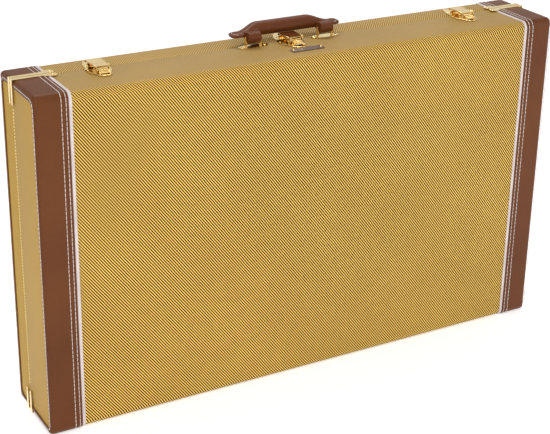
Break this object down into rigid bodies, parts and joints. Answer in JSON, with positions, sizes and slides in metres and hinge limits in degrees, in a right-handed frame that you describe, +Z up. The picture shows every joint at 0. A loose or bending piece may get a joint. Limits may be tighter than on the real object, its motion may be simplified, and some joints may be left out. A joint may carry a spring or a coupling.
{
  "type": "guitar case",
  "caption": "Large tweed suitcase-style stand case for guitars, with leather end caps, brass draw latches, a swinging handle and a padded, notched interior.",
  "frame": {"origin": "bottom centre of the case, where it stands on its hinge edge", "axes": "+X along the length, +Y from the deep front half to the shallow rear half, +Z up to the handle"},
  "size_m": [0.9542, 0.15, 0.6003],
  "materials": {
    "tweed": "lacquered woven tweed, diagonal stripe",
    "cap_leather": "smooth satin leather, white stitching",
    "piping": "off-white woven piping",
    "plywood": "sealed plywood",
    "plush": "short-pile plush",
    "polished_brass": "polished and lacquered",
    "steel": "plain steel pin",
    "handle_leather": "padded moulded leather",
    "nameplate": "blank enamelled plate"
  },
  "bodies": {
    "front_half": {"front_tweed": "tweed", "front_shell": "plywood", "dust_lip": "plywood", "front_lining": "plush", "body_pad": "plush", "body_rail_lower": "plush", "body_rail_upper": "plush", "front_cap_left": "cap_leather", "front_cap_right": "cap_leather", "front_piping_left": "piping", "front_piping_right": "piping", "clip_top_left_front": "polished_brass", "clip_top_right_front": "polished_brass", "clip_bottom_left_front": "polished_brass", "clip_bottom_right_front": "polished_brass", "left_latch_base": "polished_brass", "left_latch_lever_pin": "steel", "hinge_left_front_leaf": "polished_brass", "hinge_left_pin": "steel", "centre_latch_base": "polished_brass", "centre_latch_lever_pin": "steel", "hinge_centre_front_leaf": "polished_brass", "hinge_centre_pin": "steel", "right_latch_base": "polished_brass", "right_latch_lever_pin": "steel", "hinge_right_front_leaf": "polished_brass", "hinge_right_pin": "steel", "bail_left": "polished_brass", "bail_right": "polished_brass", "bail_plate_left": "polished_brass", "bail_plate_right": "polished_brass", "nameplate": "nameplate"},
    "rear_half": {"rear_tweed": "tweed", "rear_shell": "plywood", "rear_lining": "plush", "neck_rest": "plush", "rear_cap_left": "cap_leather", "rear_cap_right": "cap_leather", "rear_piping_left": "piping", "rear_piping_right": "piping", "clip_top_left_rear": "polished_brass", "clip_top_right_rear": "polished_brass", "clip_bottom_left_rear": "polished_brass", "clip_bottom_right_rear": "polished_brass", "left_latch_catch": "polished_brass", "centre_latch_catch": "polished_brass", "right_latch_catch": "polished_brass", "hinge_left_rear_leaf": "polished_brass", "hinge_centre_rear_leaf": "polished_brass", "hinge_right_rear_leaf": "polished_brass"},
    "handle": {"handle_grip": "handle_leather", "handle_strap_left": "handle_leather", "handle_strap_right": "handle_leather"},
    "left_lever": {"left_latch_lever": "polished_brass"},
    "left_hasp": {"left_latch_hasp": "polished_brass"},
    "centre_lever": {"centre_latch_lever": "polished_brass"},
    "centre_hasp": {"centre_latch_hasp": "polished_brass"},
    "right_lever": {"right_latch_lever": "polished_brass"},
    "right_hasp": {"right_latch_hasp": "polished_brass"},
    "lock_plug": {"lock_plug": "polished_brass"}
  },
  "joints": [
    {"name": "lid_hinge", "type": "hinge", "parent": "front_half", "child": "rear_half", "pos_m": [0, 0.02, 0.0022], "axis": [-1, 0, 0], "range_deg": [0, 95]},
    {"name": "left_lever_pivot", "type": "hinge", "parent": "front_half", "child": "left_lever", "pos_m": [-0.34, -0.006, 0.5748], "axis": [-1, 0, 0], "range_deg": [0, 75]},
    {"name": "left_hasp_pivot", "type": "hinge", "parent": "left_lever", "child": "left_hasp", "pos_m": [-0.34, -0.011, 0.576], "axis": [-1, 0, 0], "range_deg": [-82.5, 0]},
    {"name": "centre_lever_pivot", "type": "hinge", "parent": "front_half", "child": "centre_lever", "pos_m": [-0.004, -0.0066, 0.5754], "axis": [-1, 0, 0], "range_deg": [0, 50]},
    {"name": "centre_hasp_pivot", "type": "hinge", "parent": "centre_lever", "child": "centre_hasp", "pos_m": [-0.004, -0.0121, 0.57672], "axis": [-1, 0, 0], "range_deg": [-50, 0]},
    {"name": "right_lever_pivot", "type": "hinge", "parent": "front_half", "child": "right_lever", "pos_m": [0.34, -0.006, 0.5748], "axis": [-1, 0, 0], "range_deg": [0, 75]},
    {"name": "right_hasp_pivot", "type": "hinge", "parent": "right_lever", "child": "right_hasp", "pos_m": [0.34, -0.011, 0.576], "axis": [-1, 0, 0], "range_deg": [-82.5, 0]},
    {"name": "lock_turn", "type": "hinge", "parent": "centre_lever", "child": "lock_plug", "pos_m": [-0.004, -0.01705, 0.5745], "axis": [0, 0, 1], "range_deg": [0, 90]},
    {"name": "handle_swing", "type": "hinge", "parent": "front_half", "child": "handle", "pos_m": [0, 0.01, 0.5845], "axis": [-1, 0, 0], "range_deg": [-154, 8]}
  ],
  "couplings": [
    {"joint": "left_hasp_pivot", "follows": "left_lever_pivot", "ratio": -1.1},
    {"joint": "centre_hasp_pivot", "follows": "centre_lever_pivot", "ratio": -1},
    {"joint": "right_hasp_pivot", "follows": "right_lever_pivot", "ratio": -1.1}
  ]
}
